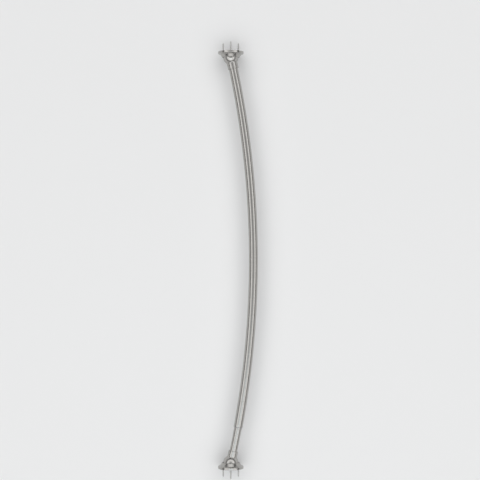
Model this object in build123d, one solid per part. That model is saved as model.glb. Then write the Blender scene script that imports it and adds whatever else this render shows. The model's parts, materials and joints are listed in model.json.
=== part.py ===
from build123d import *
import math
import os

# Curved shower curtain rod that telescopes along its own bend, with a swivelling mount on each wall.
# Millimetres, pushed together. The origin is the middle of the left wall plate's back, on the left wall.
# +X runs to the right wall, -Y is the side that the rod bows to, and +Z is up.

# Span and bend
closed_span = 1041.4            # wall to wall, pushed together: 41 inches
tail_room = 36.9                # hidden end to the far socket, pushed together; lets the rod reach 72 inches
bend_radius = 2300.0            # centreline of both tubes

# Tubes and the nylon pieces that they slide on
outer_diameter = 22.225         # 7/8 inch
outer_wall = 0.8
inner_wall = 0.8
bush_wall = 0.65
slide_clearance = 0.15          # nylon to the steel that slides on it, all round
press_clearance = 0.03          # nylon to the steel that holds it, all round
bush_length = 35.0              # inside the outer tube
bush_lip = 1.6                  # in front of the outer tube's mouth
lip_round = 0.5
closed_reveal = 60.0            # bare inner tube between its neck and the bush
glide_length = 18.0
glide_cap = 1.5
glide_vent = 8.0                # hole through the glide's cap
stop_gap = 1.0                  # glide to bush at the full span

# Swivel ends
ball_diameter = 38.0
ball_back = 7.0                 # pivot to the flat behind it
half_swing = 10.2               # degrees each way from the middle of the swing
neck_wall = 2.2
neck_reach = 11.0               # neck beyond the ball
neck_round = 4.0                # hollow fillet between ball and neck
neck_edge = 0.5
socket_web = 4.0                # metal between the pivot pocket and the tube's seat
socket_clearance = 0.1          # all round the tube
seat_gap = 0.2                  # tube's end to the socket's floor
set_screw_diameter = 4.0
set_screw_setback = 8.0         # set screw's axis to the neck's end
set_screw_sink = 0.2            # below the neck's surface
set_screw_gap = 0.05            # its point to the tube
set_screw_key = 2.0             # hexagon across its flats
set_screw_key_depth = 1.2

# Pivots
pin_diameter = 5.0
pin_clearance = 0.06            # round the pin in the post's eye and the washers
pin_sink = 0.7                  # pin's ends below the ball's surface
pin_edge = 0.4
eye_diameter = 12.0
eye_height = 10.0
pocket_clearance = 1.0          # round the post's eye
washer_thickness = 1.0
post_width = 10.0
post_foot_diameter = 18.0
post_foot_height = 1.2
rivet_diameter = 8.0
rivet_recess = 0.3              # rivet's end to the wall

# Wall plates and their screws
plate_thickness = 2.0
plate_edge = 1.5                # round on the front edge
screw_circle = 44.0
screw_count = 3
screw_diameter = 4.2            # over the thread
screw_neck = 0.4                # plain neck's diameter above the thread's
screw_hole_clearance = 0.25     # round the plain neck
screw_length = 24.0             # below the wall's face
screw_tip = 4.0
screw_head_diameter = 8.0
screw_head_height = 2.6
screw_head_edge = 0.9
screw_cross_width = 0.9
screw_cross_span = 4.2
screw_cross_depth = 1.4

# Covers
cover_sheet = 1.0
cover_clearance = 0.3           # round the wall plate
cover_ball_gap = 1.1            # round the ball, room to slide off at the tube's slant
cover_lip_ahead = 1.2           # cover's front to the pivot
cover_lip_width = 1.6
cover_crown = 4.8               # sloped ring between brim and lip
cover_brim = 5.5
cover_brim_rise = 0.8
cover_head_room = 0.5           # cover to the screw heads
cover_edge_round = 2.5
cover_hollow_round = 2.5
cover_lip_round = 1.8
plate_room = 1.8                # ball to the wall plate at the widest swing

# Radii and lengths that follow
outer_radius = outer_diameter / 2
outer_bore = outer_radius - outer_wall
bush_radius = outer_bore - press_clearance
bush_bore = outer_bore - bush_wall
inner_radius = bush_bore - slide_clearance
inner_bore = inner_radius - inner_wall
glide_radius = outer_bore - slide_clearance

ball_radius = ball_diameter / 2
pin_radius = pin_diameter / 2
eye_radius = eye_diameter / 2
pocket_radius = eye_radius + pocket_clearance
pocket_height = eye_height + 2 * washer_thickness
socket_floor = pocket_radius + socket_web
neck_end = ball_radius + neck_reach

hole_in_cover = ball_radius + cover_ball_gap
cover_radius = hole_in_cover + cover_lip_width + cover_crown + cover_brim
plate_radius = cover_radius - cover_sheet - cover_clearance
ball_flat_radius = math.sqrt(ball_radius ** 2 - ball_back ** 2)


# The ball's flat is square to the wall in the middle of the swing, so its corners turn towards the plate
# by half the swing.
turn = math.radians(half_swing)
ball_sweep = ball_back * math.cos(turn) + ball_flat_radius * math.sin(turn)
pivot_standoff = plate_thickness + plate_room + ball_sweep

# Angle between the tube at the pivot and the wall's normal, pushed together
closed_angle = math.asin((closed_span / 2 - pivot_standoff) / bend_radius)
arc_length = 2 * closed_angle * bend_radius
bend_centre = Vector(closed_span / 2, bend_radius * math.cos(closed_angle), 0)
middle = Plane(origin=(closed_span / 2, 0, 0), z_dir=(1, 0, 0))

# Places along the bend, as lengths of arc from the left pivot
inner_start = socket_floor + seat_gap
mouth = neck_end + closed_reveal + bush_lip
bush_end = mouth + bush_length
outer_end = arc_length - socket_floor - seat_gap
inner_end = outer_end - tail_room
glide_start = inner_end - glide_length

# Pulled out, the glide comes up to the bush, and each end has turned by half of the telescope's angle
telescope_travel = glide_start - stop_gap - bush_end
open_angle = closed_angle + telescope_travel / bend_radius / 2
mean_angle = (closed_angle + open_angle) / 2


def across_bend(length):
    """Plane across the bend, at a length of arc from the left pivot, with its normal along the tube."""
    angle = length / bend_radius - closed_angle
    along = Vector(math.cos(angle), math.sin(angle), 0)
    place = bend_centre + Vector(math.sin(angle), -math.cos(angle), 0) * bend_radius
    return Plane(origin=place, x_dir=(0, 0, 1), z_dir=along)


def bent(section, start, end):
    """Carry a section along the bend, between two lengths of arc from the left pivot."""
    sweep = math.degrees((end - start) / bend_radius)
    return revolve(across_bend(start) * section, Axis(bend_centre, (0, 0, 1)), sweep)


def ring(outside, inside):
    """Flat ring between two radii."""
    return Circle(outside) - Circle(inside)


def rod_along_x(radius, start, end):
    """Round bar on the X axis."""
    return Pos((start + end) / 2, 0, 0) * Rot(0, 90, 0) * Cylinder(radius, end - start)


def outer_tube():
    """Thicker tube, from the bush's lip to the right socket."""
    return bent(ring(outer_radius, outer_bore), mouth, outer_end)


def inner_tube():
    """Thinner tube, from the left socket to the glide inside the outer tube."""
    return bent(ring(inner_radius, inner_bore), inner_start, inner_end)


def guide_bush():
    """Nylon sleeve in the outer tube's mouth, with a lip of the tube's own diameter."""
    sleeve = bent(ring(bush_radius, bush_bore), mouth, bush_end)
    lip = extrude(ring(outer_radius, bush_bore), -bush_lip)
    rim = lip.edges().group_by(Axis.Z)[0].sort_by(SortBy.RADIUS)[-1]
    return sleeve + across_bend(mouth) * fillet(rim, lip_round)


def tail_glide():
    """Nylon cap over the inner tube's hidden end, which stops against the bush at the full span."""
    sleeve = bent(ring(glide_radius, inner_radius + press_clearance), glide_start, inner_end)
    cap = bent(ring(glide_radius, glide_vent / 2), inner_end, inner_end + glide_cap)
    return sleeve + cap


def swivel_end(tube_radius):
    """Zinc casting with a ball, a pocket for the post and a tube socket; pivot at the origin, tube on +X."""
    bore = tube_radius + socket_clearance
    neck = bore + neck_wall
    round_centre = Vector(math.sqrt((ball_radius + neck_round) ** 2 - (neck + neck_round) ** 2),
                          neck + neck_round)
    leave_ball = round_centre * (ball_radius / (ball_radius + neck_round))
    leaving = Vector(leave_ball.Y, -leave_ball.X)
    meet_neck = Vector(round_centre.X, neck)
    outline = [
        TangentArc((-ball_radius, 0), leave_ball, tangent=(0, 1)),
        TangentArc(leave_ball, meet_neck, tangent=leaving),
        Polyline(meet_neck, (neck_end - neck_edge, neck), (neck_end, neck - neck_edge),
                 (neck_end, 0), (-ball_radius, 0)),
    ]
    casting = revolve(make_face(outline), Axis.X)

    to_wall = Rot(0, 0, math.degrees(mean_angle))
    behind = to_wall * Pos(-ball_back - ball_radius, 0, 0) * Box(ball_diameter, 2 * ball_diameter, ball_diameter)
    pocket = Cylinder(pocket_radius, pocket_height)
    pocket += to_wall * Pos(-ball_radius, 0, 0) * Box(ball_diameter, 2 * pocket_radius, pocket_height)
    pin_hole = Cylinder(pin_radius, ball_diameter)
    socket = rod_along_x(bore, socket_floor, neck_end)
    thread = Pos(neck_end - set_screw_setback, 0, -neck / 2) * Cylinder(set_screw_diameter / 2, neck)
    return casting - behind - pocket - pin_hole - socket - thread


def set_screw(tube_radius):
    """Headless screw that comes up through the neck against the tube, with a hexagon socket."""
    low = tube_radius + socket_clearance + neck_wall - set_screw_sink
    high = tube_radius + set_screw_gap
    screw = Pos(0, 0, -(low + high) / 2) * Cylinder(set_screw_diameter / 2, low - high)
    key = extrude(RegularPolygon(set_screw_key / 2, 6, major_radius=False), set_screw_key_depth)
    return Pos(neck_end - set_screw_setback, 0, 0) * (screw - Pos(0, 0, -low) * key)


def pivot_pin():
    """Upright pin, pressed into the ball above and below the post."""
    pin = Cylinder(pin_radius, ball_diameter - 2 * pin_sink)
    return chamfer(pin.edges().filter_by(GeomType.CIRCLE), pin_edge)


def pivot_washers():
    """Nylon washer above and below the post's eye."""
    washer = extrude(ring(eye_radius, pin_radius + pin_clearance), washer_thickness)
    return Part() + [Pos(0, 0, eye_height / 2) * washer, Pos(0, 0, -pocket_height / 2) * washer]


def wall_plate():
    """Pressed steel disc with a rounded front edge, screw holes and the post's rivet hole."""
    plate = rod_along_x(plate_radius, 0, plate_thickness)
    front = plate.edges().filter_by(GeomType.CIRCLE).sort_by(Axis.X)[-1]
    plate = fillet(front, min(plate_edge, plate_thickness * 0.9))
    plate -= rod_along_x(rivet_diameter / 2, 0, plate_thickness)
    hole_radius = screw_diameter / 2 + screw_neck / 2 + screw_hole_clearance
    return plate - screw_places(rod_along_x(hole_radius, 0, plate_thickness))


def screw_places(shape):
    """Copies of a shape on the X axis, moved to each screw of the circle, the first at the top."""
    places = []
    for number in range(screw_count):
        around = Rot(360 * number / screw_count, 0, 0)
        places.append(around * Pos(0, 0, screw_circle / 2) * shape)
    return Part() + places


def wall_screws():
    """Pan-head screws through the plate, with a plain neck in the plate and the thread behind the wall's face."""
    head = screw_head_diameter / 2
    neck = screw_diameter / 2 + screw_neck / 2
    thread = screw_diameter / 2
    top = plate_thickness + screw_head_height
    outline = [
        TangentArc((top, 0), (plate_thickness + screw_head_edge, head), tangent=(0, 1)),
        Polyline((plate_thickness + screw_head_edge, head), (plate_thickness, head), (plate_thickness, neck),
                 (0, neck), (0, thread), (screw_tip - screw_length, thread), (-screw_length, 0), (top, 0)),
    ]
    screw = revolve(make_face(outline), Axis.X)
    cross = Box(2 * screw_cross_depth, screw_cross_span, screw_cross_width)
    cross += Box(2 * screw_cross_depth, screw_cross_width, screw_cross_span)
    return screw_places(screw - Pos(top, 0, 0) * cross)


def pivot_post():
    """Post riveted to the wall plate, with an upright eye for the pin."""
    bar_length = pivot_standoff - plate_thickness
    post = Pos(plate_thickness + bar_length / 2, 0, 0) * Box(bar_length, post_width, eye_height)
    post += Pos(pivot_standoff, 0, 0) * Cylinder(eye_radius, eye_height)
    post += rod_along_x(post_foot_diameter / 2, plate_thickness, plate_thickness + post_foot_height)
    post += rod_along_x(rivet_diameter / 2, rivet_recess, plate_thickness)
    return post - Pos(pivot_standoff, 0, 0) * Cylinder(pin_radius + pin_clearance, eye_height)


def cover():
    """Spun stainless cover: a skirt over the plate, a brim, a sloped crown and a lip round the ball."""
    brim_height = plate_thickness + screw_head_height + cover_head_room + cover_sheet
    front = pivot_standoff + cover_lip_ahead
    skirt = FilletPolyline(
        (0, cover_radius),
        (brim_height, cover_radius),
        (brim_height + cover_brim_rise, cover_radius - cover_brim),
        (front, hole_in_cover + cover_lip_width),
        (front, hole_in_cover),
        radius=[cover_edge_round, cover_hollow_round, cover_lip_round],
    )
    band = offset(skirt, cover_sheet, side=Side.RIGHT, closed=True)
    return revolve(make_face(band.edges()), Axis.X)


def at_pivot(shape, tube_end_angle):
    """Turn a piece of the swivel end to the tube's direction and move it to the left pivot."""
    return Pos(pivot_standoff, 0, 0) * Rot(0, 0, -math.degrees(tube_end_angle)) * shape


def end_pieces(tube_radius):
    """One end's mount and swivel, on the left wall."""
    seat_middle = (socket_floor + neck_end) / 2
    seat_angle = closed_angle - seat_middle / (2 * bend_radius)
    return {
        "wall_plate": wall_plate(),
        "wall_screws": wall_screws(),
        "pivot_post": pivot_post(),
        "cover": cover(),
        "swivel_end": at_pivot(swivel_end(tube_radius), seat_angle),
        "set_screw": at_pivot(set_screw(tube_radius), seat_angle),
        "pivot_pin": at_pivot(pivot_pin(), seat_angle),
        "pivot_washers": at_pivot(pivot_washers(), seat_angle),
    }


pieces = {
    "outer_tube": outer_tube(),
    "inner_tube": inner_tube(),
    "guide_bush": guide_bush(),
    "tail_glide": tail_glide(),
}
for name, shape in end_pieces(inner_radius).items():
    pieces["left_" + name] = shape
for name, shape in end_pieces(outer_radius).items():
    pieces["right_" + name] = mirror(shape, about=middle)

os.makedirs("parts", exist_ok=True)
for name, shape in pieces.items():
    export_step(shape, f"parts/{name}.step")
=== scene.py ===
import json
import math

import bpy
import numpy as np
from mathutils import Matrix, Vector


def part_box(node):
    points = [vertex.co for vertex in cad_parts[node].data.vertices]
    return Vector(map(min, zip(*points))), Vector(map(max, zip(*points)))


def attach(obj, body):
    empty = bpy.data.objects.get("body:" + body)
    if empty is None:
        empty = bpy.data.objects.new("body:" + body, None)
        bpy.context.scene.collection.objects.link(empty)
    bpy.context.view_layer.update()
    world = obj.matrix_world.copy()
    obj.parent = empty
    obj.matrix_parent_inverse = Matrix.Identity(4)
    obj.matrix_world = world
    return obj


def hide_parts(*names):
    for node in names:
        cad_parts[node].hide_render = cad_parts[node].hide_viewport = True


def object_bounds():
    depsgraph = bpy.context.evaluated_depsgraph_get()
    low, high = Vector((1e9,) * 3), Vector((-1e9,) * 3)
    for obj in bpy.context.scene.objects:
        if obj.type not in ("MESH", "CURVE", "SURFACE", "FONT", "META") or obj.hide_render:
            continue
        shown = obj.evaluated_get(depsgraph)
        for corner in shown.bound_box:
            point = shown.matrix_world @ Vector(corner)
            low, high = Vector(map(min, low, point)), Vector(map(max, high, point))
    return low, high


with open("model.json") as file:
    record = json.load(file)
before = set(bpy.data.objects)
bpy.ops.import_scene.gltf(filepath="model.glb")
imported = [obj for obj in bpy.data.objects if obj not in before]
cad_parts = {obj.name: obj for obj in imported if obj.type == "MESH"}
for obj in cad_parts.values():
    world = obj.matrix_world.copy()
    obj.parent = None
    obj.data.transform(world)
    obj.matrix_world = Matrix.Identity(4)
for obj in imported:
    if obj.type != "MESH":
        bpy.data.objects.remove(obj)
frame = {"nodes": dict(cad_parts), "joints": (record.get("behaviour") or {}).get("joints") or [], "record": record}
cad_box = [list(corner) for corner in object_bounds()]

# Wall plates
# Two round discs pressed from steel sheet and plated with zinc, each flat on its wall under three screws.
# The plating is dull and a little cloudy, because the cover hides it.
SIDES = {"left": 1.0, "right": -1.0}            # which way each mount faces along X
ZINC_DARK = (0.47, 0.48, 0.50, 1.0)
ZINC_LIGHT = (0.60, 0.61, 0.62, 1.0)
NOISE_DETAIL = {"Relief": 2.0, "Cloud": 3.0}
NOISE_RANGE = (0.3, 0.7)                        # where nearly all of a noise's values lie
FINE_SHARE = 0.35                               # of the relief in the colour, beside the cloud


def pattern_group(name, sizes):
    """Shader group with the named sizes as inputs, and a fine relief and a broad cloud as outputs."""
    group = bpy.data.node_groups.new(name, "ShaderNodeTree")
    for size in sizes:
        group.interface.new_socket(name=size, in_out="INPUT", socket_type="NodeSocketFloat")
    for mask in NOISE_DETAIL:
        group.interface.new_socket(name=mask, in_out="OUTPUT", socket_type="NodeSocketFloat")
    group.nodes.new("NodeGroupOutput")
    return group, group.nodes.new("NodeGroupInput")


def add_noise(group, vector, size, mask):
    """Noise of a vector divided by a size, stretched to 0 to 1 and carried to one of the group's outputs."""
    divide = group.nodes.new("ShaderNodeVectorMath")
    divide.operation = "DIVIDE"
    noise = group.nodes.new("ShaderNodeTexNoise")
    noise.inputs["Scale"].default_value = 1.0
    noise.inputs["Detail"].default_value = NOISE_DETAIL[mask]
    stretch = group.nodes.new("ShaderNodeMapRange")
    stretch.inputs["From Min"].default_value = NOISE_RANGE[0]
    stretch.inputs["From Max"].default_value = NOISE_RANGE[1]
    group.links.new(vector, divide.inputs[0])
    group.links.new(size, divide.inputs[1])
    group.links.new(divide.outputs["Vector"], noise.inputs["Vector"])
    group.links.new(noise.outputs["Fac"], stretch.inputs["Value"])
    group.links.new(stretch.outputs["Result"], group.nodes["Group Output"].inputs[mask])


fine_grain, grain_in = pattern_group("fine_grain", ("Grain Size", "Cloud Size"))
grain_place = fine_grain.nodes.new("ShaderNodeTexCoord")
add_noise(fine_grain, grain_place.outputs["Object"], grain_in.outputs["Grain Size"], "Relief")
add_noise(fine_grain, grain_place.outputs["Object"], grain_in.outputs["Cloud Size"], "Cloud")


def patterned_material(name, group, sizes, dark, light, roughness, relief, metallic):
    """Material whose colour goes from dark to light with a group's cloud and, less, its relief.

    Its roughness goes with the relief, which also stands out as bump, as high as the given length in metres.
    """
    material = bpy.data.materials.new(name)
    material.use_nodes = True
    nodes = material.node_tree.nodes
    links = material.node_tree.links
    surface = nodes["Principled BSDF"]
    surface.inputs["Metallic"].default_value = metallic
    pattern = nodes.new("ShaderNodeGroup")
    pattern.node_tree = group
    for size, value in sizes.items():
        pattern.inputs[size].default_value = value
    colour = nodes.new("ShaderNodeMix")
    colour.data_type = "RGBA"
    colour.inputs["A"].default_value = dark
    colour.inputs["B"].default_value = light
    shade = nodes.new("ShaderNodeMix")
    shade.inputs["Factor"].default_value = FINE_SHARE
    links.new(pattern.outputs["Cloud"], shade.inputs["A"])
    links.new(pattern.outputs["Relief"], shade.inputs["B"])
    links.new(shade.outputs["Result"], colour.inputs["Factor"])
    links.new(colour.outputs["Result"], surface.inputs["Base Color"])
    gloss = nodes.new("ShaderNodeMapRange")
    gloss.inputs["To Min"].default_value = roughness[0]
    gloss.inputs["To Max"].default_value = roughness[1]
    links.new(pattern.outputs["Relief"], gloss.inputs["Value"])
    links.new(gloss.outputs["Result"], surface.inputs["Roughness"])
    bump = nodes.new("ShaderNodeBump")
    bump.inputs["Distance"].default_value = relief
    links.new(pattern.outputs["Relief"], bump.inputs["Height"])
    links.new(bump.outputs["Normal"], surface.inputs["Normal"])
    return material


def dress(node, material):
    """Give a CAD node a finish in place of its plain one."""
    frame["nodes"][node].material_slots[0].material = material


zinc_plating = patterned_material(
    "zinc_plating", fine_grain, {"Grain Size": 0.0005, "Cloud Size": 0.012},
    dark=ZINC_DARK, light=ZINC_LIGHT, roughness=(0.34, 0.50), relief=0.000008, metallic=1.0)
for side in SIDES:
    dress(side + "_wall_plate", zinc_plating)

# Pivot posts
# Steel posts with an upright eye, riveted through the middle of the plates before both are plated.
# They have the plates' finish, a little brighter where the post was milled.
MILLED_LIGHT = (0.68, 0.68, 0.68, 1.0)

milled_zinc = patterned_material(
    "milled_zinc", fine_grain, {"Grain Size": 0.0003, "Cloud Size": 0.006},
    dark=ZINC_LIGHT, light=MILLED_LIGHT, roughness=(0.26, 0.38), relief=0.000004, metallic=1.0)
for side in SIDES:
    dress(side + "_pivot_post", milled_zinc)

# Wall screws
# Pan-head steel screws with a cross recess and a coarse rolled thread that ends in a gimlet point.
# Three hold each plate, on one circle, the first at the top.
SCREW_DARK = (0.50, 0.50, 0.49, 1.0)
SCREW_LIGHT = (0.62, 0.61, 0.59, 1.0)
HEAD_RADIUS = 0.004
HEAD_HEIGHT = 0.0026
HEAD_EDGE = 0.0009                              # straight side of the head
HEAD_ROUND = 0.00025
EDGE_BREAK = 0.00003                            # on the sharp corners under the head
NECK_RADIUS = 0.0023
ROOT_RADIUS = 0.00145
THREAD_PITCH = 0.0018
THREAD_START = 0.0002                           # behind the wall's face
RIDGE_HALF = 0.24                               # half of the ridge's foot, as a share of the pitch
POINT_LENGTH = 0.004
POINT_SWELL = 0.8                               # power of the point's taper, under 1 for a swollen one
POINT_END = 0.00004
RECESS_WIDTH = 0.0010
RECESS_SPAN = 0.0042
RECESS_DEPTH = 0.0014
RECESS_SLOPE = 0.0003                           # width of the recess's slanting walls
RECESS_CENTRE = 0.00002                         # radius of the innermost row of points
SCREW_COLUMNS = 64
DOME_ROWS = 34
RIM_ROWS = 5
SHANK_ROWS = 150
mounts = {mount["name"]: mount for mount in frame["record"]["mounts"]}
wall_x = {side: mounts[side + "_wall"]["pos_m"][0] for side in SIDES}
crest_radius = mounts["left_screw_1"]["dims"]["r_mm"] / 1000.0
plate_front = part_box("left_wall_plate")[1].x
screw_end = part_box("left_wall_screws")[0].x


def smooth_step(value):
    """0 below 0, 1 above 1 and an S-shaped rise between them."""
    share = np.clip(value, 0.0, 1.0)
    return share * share * (3.0 - 2.0 * share)


def screw_surface():
    """Grids (rows, columns) of x, y and z for a screw on the X axis, with its head at +X and the wall at 0.

    Rows run from the head's top to the point. On the dome x is a circle's arc, less the recess's depth where
    the place lies inside a cross. On the thread the radius is the root's plus a ridge, which winds as
    x / pitch + a / 2 pi does, with a the angle about X.
    """
    around = np.linspace(0.0, 2.0 * np.pi, SCREW_COLUMNS, endpoint=False)
    dome_rise = HEAD_HEIGHT - HEAD_EDGE
    dome_radius = (dome_rise ** 2 + HEAD_RADIUS ** 2) / (2.0 * dome_rise)
    dome_r = np.linspace(RECESS_CENTRE, HEAD_RADIUS - HEAD_ROUND, DOME_ROWS)
    dome_x = plate_front + HEAD_HEIGHT - dome_radius + np.sqrt(dome_radius ** 2 - dome_r ** 2)
    rim = np.linspace(0.0, np.pi / 2.0, RIM_ROWS + 1)[1:]
    rim_r = HEAD_RADIUS - HEAD_ROUND + HEAD_ROUND * np.sin(rim)
    rim_x = dome_x[-1] - HEAD_ROUND + HEAD_ROUND * np.cos(rim)
    under_r, under_x = np.array([
        (HEAD_RADIUS, plate_front + EDGE_BREAK),
        (HEAD_RADIUS - EDGE_BREAK, plate_front),
        (NECK_RADIUS + EDGE_BREAK, plate_front),
        (NECK_RADIUS, plate_front - EDGE_BREAK),
        (NECK_RADIUS, 0.0),
    ]).T
    shank_x = np.linspace(-THREAD_START, screw_end, SHANK_ROWS)
    taper = np.clip((shank_x - screw_end) / POINT_LENGTH, 0.0, 1.0) ** POINT_SWELL
    shank_r = ROOT_RADIUS * taper + POINT_END
    x = np.concatenate([dome_x, rim_x, under_x, shank_x])[:, None] + 0.0 * around
    r = np.concatenate([dome_r, rim_r, under_r, shank_r])[:, None] + 0.0 * around
    turn = x / THREAD_PITCH + around / (2.0 * np.pi)
    ridge = smooth_step(1.0 - np.abs(turn - np.floor(turn) - 0.5) / RIDGE_HALF)
    run_in = np.clip(-x / THREAD_PITCH, 0.0, 1.0)
    threaded = np.concatenate([np.zeros(len(x) - SHANK_ROWS), taper])[:, None]
    r = r + (crest_radius - ROOT_RADIUS) * ridge * run_in * threaded
    y = r * np.sin(around)
    z = r * np.cos(around)
    arm_y = np.minimum(RECESS_SPAN / 2.0 - np.abs(y), RECESS_WIDTH / 2.0 - np.abs(z))
    arm_z = np.minimum(RECESS_WIDTH / 2.0 - np.abs(y), RECESS_SPAN / 2.0 - np.abs(z))
    inside = smooth_step(np.maximum(arm_y, arm_z) / RECESS_SLOPE + 0.5)
    on_dome = (np.arange(len(x)) < DOME_ROWS)[:, None]
    return x - RECESS_DEPTH * inside * on_dome, y, z


def spindle_mesh(name, grids):
    """Mesh of several grids of points (rows, columns, 3), each closed round its columns and at both ends.

    Face (i, j) joins the points (i, j), (i, j + 1), (i + 1, j + 1) and (i + 1, j).
    A middle point closes each end.
    """
    rows, columns = grids[0].shape[:2]
    i, j = np.meshgrid(np.arange(rows - 1), np.arange(columns), indexing="ij")
    here = i * columns
    below = here + columns
    after = (j + 1) % columns
    sides = np.stack([here + j, here + after, below + after, below + j], axis=-1)
    ring = np.arange(columns)
    first = rows * columns
    last = (rows - 1) * columns
    top = np.stack([np.full(columns, first), (ring + 1) % columns, ring], axis=-1)
    tip = np.stack([np.full(columns, first + 1), last + ring, last + (ring + 1) % columns], axis=-1)
    points = []
    faces = []
    for number, grid in enumerate(grids):
        offset = number * (first + 2)
        points += [grid.reshape(-1, 3), grid[:1].mean(axis=1), grid[-1:].mean(axis=1)]
        faces += (sides.reshape(-1, 4) + offset).tolist() + (top + offset).tolist() + (tip + offset).tolist()
    mesh = bpy.data.meshes.new(name)
    mesh.from_pydata(np.concatenate(points).tolist(), [], faces)
    mesh.shade_smooth()
    return mesh


def add_piece(mesh, material, body, node):
    """Put a mesh into the scene in place of a CAD node, riding on that node's body."""
    mesh.materials.append(material)
    piece = bpy.data.objects.new(mesh.name, mesh)
    bpy.context.scene.collection.objects.link(piece)
    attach(piece, body)
    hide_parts(node)


screw_plating = patterned_material(
    "screw_plating", fine_grain, {"Grain Size": 0.0002, "Cloud Size": 0.003},
    dark=SCREW_DARK, light=SCREW_LIGHT, roughness=(0.24, 0.36), relief=0.0000024, metallic=1.0)
screw_x, screw_y, screw_z = screw_surface()
for side, facing in SIDES.items():
    screws = []
    for name, mount in mounts.items():
        if name.startswith(side + "_screw"):
            x = wall_x[side] + facing * screw_x
            y = mount["pos_m"][1] + facing * screw_y
            z = mount["pos_m"][2] + screw_z
            screws.append(np.stack([x, y, z], axis=-1))
    add_piece(spindle_mesh(side + "_wall_screws_threaded", screws), screw_plating,
              body=side + "_mount", node=side + "_wall_screws")

# Pivot washers
# Thin nylon rings above and below each post's eye, which keep the plated metal from rubbing.
# They are left in nylon's natural milky white.
MILKY_DARK = (0.74, 0.74, 0.70, 1.0)
MILKY_LIGHT = (0.82, 0.82, 0.79, 1.0)

milky_nylon = patterned_material(
    "milky_nylon", fine_grain, {"Grain Size": 0.0004, "Cloud Size": 0.004},
    dark=MILKY_DARK, light=MILKY_LIGHT, roughness=(0.42, 0.54), relief=0.000004, metallic=0.0)
for side in SIDES:
    dress(side + "_pivot_washers", milky_nylon)

# Pivot pins and set screws
# Hard steel pins pressed through each ball, and headless screws with a hexagon socket under each neck.
# Both are small bright plated steel, like the wall screws.
for side in SIDES:
    dress(side + "_pivot_pin", screw_plating)
    dress(side + "_set_screw", screw_plating)

# Swivel ends
# Zinc castings, a ball and a neck in one, tumbled and plated in satin to match the tubes.
# The plating is even, with a very fine grain, and a touch lighter than the steel.
CASTING_DARK = (0.42, 0.410, 0.394, 1.0)
CASTING_LIGHT = (0.47, 0.459, 0.441, 1.0)

satin_casting = patterned_material(
    "satin_casting", fine_grain, {"Grain Size": 0.0003, "Cloud Size": 0.02},
    dark=CASTING_DARK, light=CASTING_LIGHT, roughness=(0.22, 0.28), relief=0.0000008, metallic=1.0)
for side in SIDES:
    dress(side + "_swivel_end", satin_casting)

# Inner tube
# The thinner stainless tube, drawn with a thin wall, bent to one radius and brushed round with fine belts.
# It is pressed into the left casting's socket, and slides inside the outer tube along the same bend.
STEEL_DARK = (0.403, 0.393, 0.377, 1.0)
STEEL_LIGHT = (0.463, 0.452, 0.433, 1.0)
BRUSH_RELIEF = 0.0000024
BRUSH_STRETCH = 0.3                             # how far the gloss is drawn out across the lines
TUBE_WALL = 0.0008
TUBE_ROWS = 160
TUBE_COLUMNS = 96
EDGE_ROWS = 7                                   # round a sheet's cut edge
joints = {joint["name"]: joint for joint in frame["joints"]}
bend_centre = np.array(joints["telescope"]["pos_m"])
left_pivot = np.array(joints["left_swivel"]["pos_m"])
bend_radius = float(np.linalg.norm((left_pivot - bend_centre)[:2]))


def sheet_section(path, thickness):
    """Closed outline of a sheet whose outer side follows a path of points (n, 2).

    The inner side lies one thickness to the right of the path, and a half circle within the path's length
    closes each end.
    """
    along = np.gradient(path, axis=0)
    along /= np.linalg.norm(along, axis=1, keepdims=True)
    inward = np.stack([along[:, 1], -along[:, 0]], axis=1)
    half = thickness / 2.0
    outer = path.copy()
    outer[0] += along[0] * half
    outer[-1] -= along[-1] * half
    inner = outer + inward * thickness
    turn = np.linspace(0.0, np.pi, EDGE_ROWS + 2)[1:-1, None]
    end = outer[-1] + inward[-1] * half + half * (along[-1] * np.sin(turn) - inward[-1] * np.cos(turn))
    start = outer[0] + inward[0] * half + half * (inward[0] * np.cos(turn) - along[0] * np.sin(turn))
    return np.concatenate([outer, end, inner[::-1], start])


def ring_mesh(name, points, across, round_it):
    """Mesh over a grid of points (rows, columns, 3) that closes on itself both ways.

    Face (i, j) joins the points (i, j), (i + 1, j), (i + 1, j + 1) and (i, j + 1). The UV map brush_lengths
    holds the lengths across the rows and round the columns, in metres, each list one longer than the grid.
    """
    rows, columns = points.shape[:2]
    i, j = np.meshgrid(np.arange(rows), np.arange(columns), indexing="ij")
    corner_i = np.stack([i, i + 1, i + 1, i], axis=-1)
    corner_j = np.stack([j, j, j + 1, j + 1], axis=-1)
    faces = corner_i % rows * columns + corner_j % columns
    mesh = bpy.data.meshes.new(name)
    mesh.from_pydata(points.reshape(-1, 3).tolist(), [], faces.reshape(-1, 4).tolist())
    lengths = np.stack([across[corner_i], round_it[corner_j]], axis=-1)
    mesh.uv_layers.new(name="brush_lengths").data.foreach_set("uv", lengths.astype(np.float32).ravel())
    mesh.shade_smooth()
    return mesh


def outline_lengths(outline):
    """Length along a closed outline up to each of its points, and at last back at the first."""
    steps = np.linalg.norm(np.roll(outline, -1, axis=0) - outline, axis=1)
    return np.concatenate([[0.0], np.cumsum(steps)])


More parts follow.
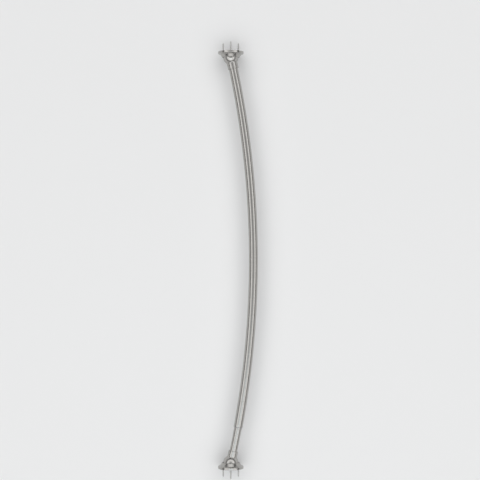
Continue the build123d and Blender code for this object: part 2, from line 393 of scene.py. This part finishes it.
def bent_tube(node):
    """Mesh of a tube along the bend, between a CAD tube's two ends and as thick.

    At angle p of the bend and angle a round the tube, a point lies at the bend's centre
    + (bend radius + r cos a) * (sin p, -cos p, 0) + (0, 0, r sin a), with p and r from the wall's section.
    """
    mesh = frame["nodes"][node].data
    corners = np.empty(3 * len(mesh.vertices), np.float32)
    mesh.vertices.foreach_get("co", corners)
    corners = corners.reshape(-1, 3) - bend_centre
    ends = np.arctan2(corners[:, 0], -corners[:, 1])
    radius = float(corners[:, 2].max())
    lengths = np.linspace(ends.min(), ends.max(), TUBE_ROWS) * bend_radius
    section = sheet_section(np.stack([lengths, np.full(TUBE_ROWS, radius)], axis=1), TUBE_WALL)
    round_it = np.linspace(-np.pi / 2.0, 3.0 * np.pi / 2.0, TUBE_COLUMNS + 1)
    p = section[:, :1] / bend_radius
    r = section[:, 1:]
    a = round_it[:-1]
    reach = bend_radius + r * np.cos(a)
    points = np.stack([reach * np.sin(p), -reach * np.cos(p), r * np.sin(a) + 0.0 * p], axis=-1)
    return ring_mesh(node + "_bent", points + bend_centre, outline_lengths(section), round_it * radius)


brushed_lines, lines_in = pattern_group(
    "brushed_lines", ("Line Width", "Line Length", "Band Width", "Band Length"))
lines_place = brushed_lines.nodes.new("ShaderNodeUVMap")
lines_place.uv_map = "brush_lengths"
for streak, mask in (("Line", "Relief"), ("Band", "Cloud")):
    streak_size = brushed_lines.nodes.new("ShaderNodeCombineXYZ")
    streak_size.inputs["Z"].default_value = 1.0
    brushed_lines.links.new(lines_in.outputs[streak + " Width"], streak_size.inputs["X"])
    brushed_lines.links.new(lines_in.outputs[streak + " Length"], streak_size.inputs["Y"])
    add_noise(brushed_lines, lines_place.outputs["UV"], streak_size.outputs["Vector"], mask)


def brushed_steel(name, sizes, roughness):
    """Patterned steel with brushed lines, and with its gloss drawn out across them."""
    material = patterned_material(
        name, brushed_lines, sizes,
        dark=STEEL_DARK, light=STEEL_LIGHT, roughness=roughness, relief=BRUSH_RELIEF, metallic=1.0)
    nodes = material.node_tree.nodes
    surface = nodes["Principled BSDF"]
    surface.inputs["Anisotropic"].default_value = BRUSH_STRETCH
    across = nodes.new("ShaderNodeTangent")
    across.direction_type = "UV_MAP"
    across.uv_map = "brush_lengths"
    material.node_tree.links.new(across.outputs["Tangent"], surface.inputs["Tangent"])
    return material


brushed_tube = brushed_steel(
    "brushed_tube", {"Line Width": 0.0004, "Line Length": 0.02, "Band Width": 0.003, "Band Length": 0.06},
    roughness=(0.15, 0.27))
add_piece(bent_tube("inner_tube"), brushed_tube, body="inner_rod", node="inner_tube")

# Tail glide and guide bush
# Grey moulded nylon: a cap on the inner tube's hidden end, and a lipped sleeve in the outer tube's mouth.
# The tubes run on them, so steel never scrapes on steel, and at the full span the cap stops at the sleeve.
GREY_DARK = (0.30, 0.30, 0.31, 1.0)
GREY_LIGHT = (0.36, 0.36, 0.37, 1.0)

grey_nylon = patterned_material(
    "grey_nylon", fine_grain, {"Grain Size": 0.0004, "Cloud Size": 0.008},
    dark=GREY_DARK, light=GREY_LIGHT, roughness=(0.40, 0.52), relief=0.000004, metallic=0.0)
dress("tail_glide", grey_nylon)
dress("guide_bush", grey_nylon)

# Outer tube
# The thicker stainless tube, of the same bend, wall and finish, pressed into the right casting's socket.
# Its cut end, deburred round, stands against the bush's lip.
add_piece(bent_tube("outer_tube"), brushed_tube, body="outer_rod", node="outer_tube")

# Covers
# Stainless sheet spun over a former: a skirt round the plate, a brim, a sloping crown and a lip at the ball.
# They are brushed on the lathe, so the lines run round, and they are pushed along the tube against the wall.
COVER_SHEET = 0.001
COVER_SKIRT = 0.0061                            # wall to brim
COVER_BRIM = 0.0055
COVER_BRIM_RISE = 0.0008
COVER_CROWN = 0.0048
COVER_LIP = 0.0016
COVER_ROUNDS = (0.0025, 0.0025, 0.0018)         # at the brim's edge, the hollow and the lip
COVER_COLUMNS = 144
ARC_ROWS = 13                                   # along each of the rounds
cover_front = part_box("left_cover")[1].x
cover_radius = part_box("left_cover")[1].z


def rounded_path(corners, rounds):
    """Points along straight runs between corners (n, 2), with an arc of its own radius at each inner corner.

    An arc starts short of its corner by radius * tan(bend / 2), and turns about a centre beside that place.
    """
    path = [corners[0]]
    for before, corner, after, radius in zip(corners, corners[1:], corners[2:], rounds):
        coming = (corner - before) / np.linalg.norm(corner - before)
        going = (after - corner) / np.linalg.norm(after - corner)
        bend = math.atan2(coming[0] * going[1] - coming[1] * going[0], coming @ going)
        aside = math.copysign(radius, bend) * np.array([-coming[1], coming[0]])
        centre = corner - coming * radius * math.tan(abs(bend) / 2.0) + aside
        turn = np.linspace(0.0, bend, ARC_ROWS)
        path += list(centre + np.stack([
            -aside[0] * np.cos(turn) + aside[1] * np.sin(turn),
            -aside[0] * np.sin(turn) - aside[1] * np.cos(turn),
        ], axis=1))
    path.append(corners[-1])
    return np.array(path)


def spun_cover(side):
    """Mesh of a cover: its sheet's section turned about X.

    With x and r from the section, a point lies at (wall + facing x, r sin(facing a), r cos a).
    """
    crown_top = cover_radius - COVER_BRIM - COVER_CROWN
    path = rounded_path(np.array([
        (0.0, cover_radius),
        (COVER_SKIRT, cover_radius),
        (COVER_SKIRT + COVER_BRIM_RISE, cover_radius - COVER_BRIM),
        (cover_front, crown_top),
        (cover_front, crown_top - COVER_LIP),
    ]), COVER_ROUNDS)
    section = sheet_section(path, COVER_SHEET)
    round_it = np.linspace(-np.pi, np.pi, COVER_COLUMNS + 1)
    x = section[:, :1]
    r = section[:, 1:]
    a = round_it[:-1]
    points = np.stack([
        wall_x[side] + SIDES[side] * x + 0.0 * a,
        r * np.sin(SIDES[side] * a),
        r * np.cos(a),
    ], axis=-1)
    return ring_mesh(side + "_cover_spun", points, outline_lengths(section), round_it * cover_radius)


brushed_cover = brushed_steel(
    "brushed_cover", {"Line Width": 0.0003, "Line Length": 0.03, "Band Width": 0.002, "Band Length": 0.08},
    roughness=(0.16, 0.29))
for side in SIDES:
    add_piece(spun_cover(side), brushed_cover,
              body=side + "_cover", node=side + "_cover")

# Floor
# A plain pale floor, painted matt, that sweeps up far away all round, as in a studio.
# It isn't part of the rod, and the covers stand just above it.
FLOOR_RADIUS = 32.0
FLOOR_SWEEP = 8.0                               # radius of the upward sweep
FLOOR_GAP = 0.0003
FLOOR_COLUMNS = 96
SWEEP_ROWS = 25
FLOOR_COLOUR = (0.82, 0.82, 0.82, 1.0)
FLOOR_ROUGHNESS = 0.9
FLOOR_SHEEN = 0.1
floor_z = cad_box[0][2] - FLOOR_GAP


def swept_floor():
    """Mesh of a round floor that sweeps up at its edge.

    At angle a round the middle and angle t up the sweep, a point lies at (r cos a, r sin a, z), with
    r = floor radius + sweep sin t and z = floor z + sweep (1 - cos t). One flat face fills the middle.
    """
    a = np.linspace(0.0, 2.0 * np.pi, FLOOR_COLUMNS, endpoint=False)
    t = np.linspace(0.0, np.pi / 2.0, SWEEP_ROWS)[:, None]
    r = FLOOR_RADIUS + FLOOR_SWEEP * np.sin(t)
    z = floor_z + FLOOR_SWEEP * (1.0 - np.cos(t))
    points = np.stack([r * np.cos(a), r * np.sin(a), z + 0.0 * a], axis=-1)
    i, j = np.meshgrid(np.arange(SWEEP_ROWS - 1), np.arange(FLOOR_COLUMNS), indexing="ij")
    here = i * FLOOR_COLUMNS
    above = here + FLOOR_COLUMNS
    after = (j + 1) % FLOOR_COLUMNS
    sweep = np.stack([here + j, above + j, above + after, here + after], axis=-1)
    middle = list(range(FLOOR_COLUMNS))
    mesh = bpy.data.meshes.new("floor")
    mesh.from_pydata(points.reshape(-1, 3).tolist(), [], [middle] + sweep.reshape(-1, 4).tolist())
    mesh.shade_smooth()
    return mesh


floor_paint = bpy.data.materials.new("floor_paint")
floor_paint.use_nodes = True
floor_surface = floor_paint.node_tree.nodes["Principled BSDF"]
floor_surface.inputs["Base Color"].default_value = FLOOR_COLOUR
floor_surface.inputs["Roughness"].default_value = FLOOR_ROUGHNESS
floor_surface.inputs["Specular IOR Level"].default_value = FLOOR_SHEEN
floor_mesh = swept_floor()
floor_mesh.materials.append(floor_paint)
floor = bpy.data.objects.new("floor", floor_mesh)
bpy.context.scene.collection.objects.link(floor)

# Light
# A soft studio: a sky that is dark low down and dim overhead, with a broad bright ring between them,
# and a cool soft box overhead beyond the left end, which fills in the tube's top line there.
SKY_STRENGTHS = {                               # by height, from 0 at the horizon to 1 overhead
    0.0: 0.05, 0.38: 0.05, 0.48: 0.9, 0.55: 1.4, 0.82: 1.4, 0.94: 0.6, 1.0: 0.4,
}
END_BOX_PLACE = (-0.45, -0.03, 2.6)
END_BOX_SIZE = (2.0, 0.8)
END_BOX_WATTS = 6.0
END_BOX_COLOUR = (0.86, 0.95, 1.0)
END_BOX_TARGET = (0.15, 0.0, 0.0)

sky = bpy.data.worlds.new("sky")
sky.use_nodes = True
bpy.context.scene.world = sky
sky_nodes = sky.node_tree.nodes
sky_place = sky_nodes.new("ShaderNodeTexCoord")
sky_split = sky_nodes.new("ShaderNodeSeparateXYZ")
sky_ramp = sky_nodes.new("ShaderNodeValToRGB")
stops = sky_ramp.color_ramp.elements
for height in list(SKY_STRENGTHS)[1:-1]:
    stops.new(height)
for stop, strength in zip(stops, SKY_STRENGTHS.values()):
    stop.color = (strength, strength, strength, 1.0)
sky.node_tree.links.new(sky_place.outputs["Generated"], sky_split.inputs["Vector"])
sky.node_tree.links.new(sky_split.outputs["Z"], sky_ramp.inputs["Fac"])
sky.node_tree.links.new(sky_ramp.outputs["Color"], sky_nodes["Background"].inputs["Color"])

end_lamp = bpy.data.lights.new("end_box", "AREA")
end_lamp.shape = "RECTANGLE"
end_lamp.size, end_lamp.size_y = END_BOX_SIZE
end_lamp.energy = END_BOX_WATTS
end_lamp.color = END_BOX_COLOUR
end_box = bpy.data.objects.new("end_box", end_lamp)
end_box.location = END_BOX_PLACE
end_box.rotation_euler = (Vector(END_BOX_PLACE) - Vector(END_BOX_TARGET)).to_track_quat("Z", "Y").to_euler()
bpy.context.scene.collection.objects.link(end_box)

# Camera
# Straight above the rod, with the right wall at the picture's top and the bow to the picture's right.
# Its height follows from the lens and from how much of the rod a pixel shows.
PICTURE_SIDE = 480
METRES_PER_PIXEL = 0.0025
BOW_PIXEL = (253.4, 260.0)                      # outermost point of the bow, halfway along
LENS = 100.0
SENSOR = 36.0
camera_lens = bpy.data.cameras.new("camera")
camera_lens.lens = LENS
camera_lens.sensor_width = SENSOR
camera = bpy.data.objects.new("camera", camera_lens)
camera.location = (
    bend_centre[0] + (BOW_PIXEL[1] - PICTURE_SIDE / 2.0) * METRES_PER_PIXEL,
    bend_centre[1] - bend_radius + (BOW_PIXEL[0] - PICTURE_SIDE / 2.0) * METRES_PER_PIXEL,
    PICTURE_SIDE * METRES_PER_PIXEL * LENS / SENSOR,
)
camera.rotation_euler = (0.0, 0.0, -math.pi / 2.0)
bpy.context.scene.collection.objects.link(camera)
bpy.context.scene.camera = camera

bpy.context.scene.view_settings.view_transform = "Standard"
